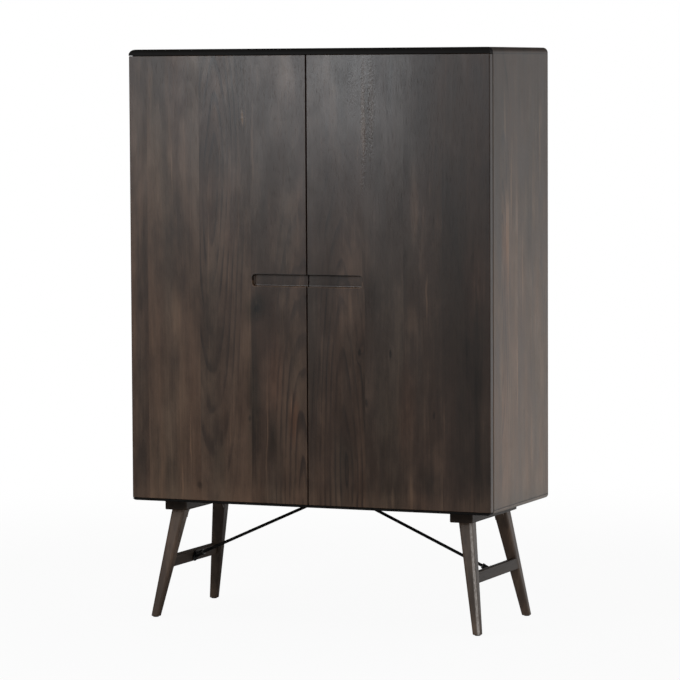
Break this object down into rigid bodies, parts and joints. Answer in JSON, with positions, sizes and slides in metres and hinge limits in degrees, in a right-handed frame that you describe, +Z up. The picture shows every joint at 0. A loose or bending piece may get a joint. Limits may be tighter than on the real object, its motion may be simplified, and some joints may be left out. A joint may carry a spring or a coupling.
{
  "type": "bar cabinet",
  "caption": "Tall bar cabinet with paired doors on splayed legs with slanted iron braces; inside, a fold-out shelf on a door, bottle rack, shelves and stemware rails.",
  "frame": {"origin": "on the floor, under the middle of the box's width and depth (doors included)", "axes": "+Z up, -Y towards someone facing the doors, +X to their right"},
  "size_m": [1, 0.43, 1.485],
  "materials": {
    "stained_wood": "satin",
    "stained_wood_inside": "satin",
    "beech_dowel": "matte",
    "black_iron": "satin",
    "aged_brass": "satin",
    "plated_steel": "satin",
    "felt": "matte",
    "black_nylon": "matte"
  },
  "bodies": {
    "cabinet": {"back_panel": "stained_wood_inside", "back_panel_screws": "plated_steel", "base_rail_left": "stained_wood", "base_rail_right": "stained_wood", "bottle_rail_front_lower": "stained_wood_inside", "bottle_rail_front_upper": "stained_wood_inside", "bottle_rail_rear_lower": "stained_wood_inside", "bottle_rail_rear_upper": "stained_wood_inside", "bottom_front_lath": "stained_wood", "bottom_panel": "stained_wood", "brace_centre_plate": "black_iron", "brace_rod_left": "black_iron", "brace_rod_right": "black_iron", "brace_socket_left": "black_iron", "brace_socket_right": "black_iron", "carcass_dowels": "beech_dowel", "counter_shelf": "stained_wood_inside", "door_catches": "black_nylon", "door_hardware_screws": "plated_steel", "foot_glides": "black_nylon", "leg_front_left": "stained_wood", "leg_front_right": "stained_wood", "leg_rear_left": "stained_wood", "leg_rear_right": "stained_wood", "lower_partition": "stained_wood_inside", "pivot_plates_left": "black_iron", "pivot_plates_right": "black_iron", "pivot_washers": "aged_brass", "shelf_pins": "plated_steel", "side_panel_left": "stained_wood", "side_panel_right": "stained_wood", "stand_screws": "plated_steel", "stemware_rail_1": "stained_wood_inside", "stemware_rail_2": "stained_wood_inside", "stemware_rail_3": "stained_wood_inside", "stemware_rail_4": "stained_wood_inside", "stemware_rail_screws": "plated_steel", "stretcher_left": "stained_wood", "stretcher_right": "stained_wood", "top_front_lath": "stained_wood", "top_panel": "stained_wood", "upper_shelf": "stained_wood_inside"},
    "left_door": {"door_left": "stained_wood", "pivot_bushes_left": "aged_brass", "catch_plate_left": "plated_steel", "felt_bumpers_left": "felt", "shelf_hinge_door_plates": "aged_brass", "bracket_hinge_door_plate": "aged_brass", "fold_hinge_pins": "aged_brass", "fold_hinge_door_screws": "aged_brass", "shelf_catch_magnet": "plated_steel"},
    "right_door": {"door_right": "stained_wood", "pivot_bushes_right": "aged_brass", "catch_plate_right": "plated_steel", "felt_bumpers_right": "felt"},
    "fold_out_shelf": {"fold_shelf": "stained_wood_inside", "shelf_catch_strike": "plated_steel", "shelf_hinge_leaf_plates": "aged_brass", "shelf_hinge_leaf_screws": "aged_brass"},
    "support_bracket": {"shelf_bracket": "stained_wood_inside", "bracket_hinge_arm_plate": "aged_brass", "bracket_hinge_arm_screws": "aged_brass"}
  },
  "joints": [
    {"name": "left_door_hinge", "type": "hinge", "parent": "cabinet", "child": "left_door", "pos_m": [-0.492, -0.202, 0.892], "axis": [0, 0, -1], "range_deg": [0, 100]},
    {"name": "right_door_hinge", "type": "hinge", "parent": "cabinet", "child": "right_door", "pos_m": [0.492, -0.202, 0.892], "axis": [0, 0, 1], "range_deg": [0, 100]},
    {"name": "shelf_fold", "type": "hinge", "parent": "left_door", "child": "fold_out_shelf", "pos_m": [-0.267, -0.1915, 0.846], "axis": [-1, 0, 0], "range_deg": [0, 90]},
    {"name": "bracket_swing", "type": "hinge", "parent": "left_door", "child": "support_bracket", "pos_m": [-0.265, -0.1915, 0.7726], "axis": [0, 0, 1], "range_deg": [0, 90]}
  ]
}
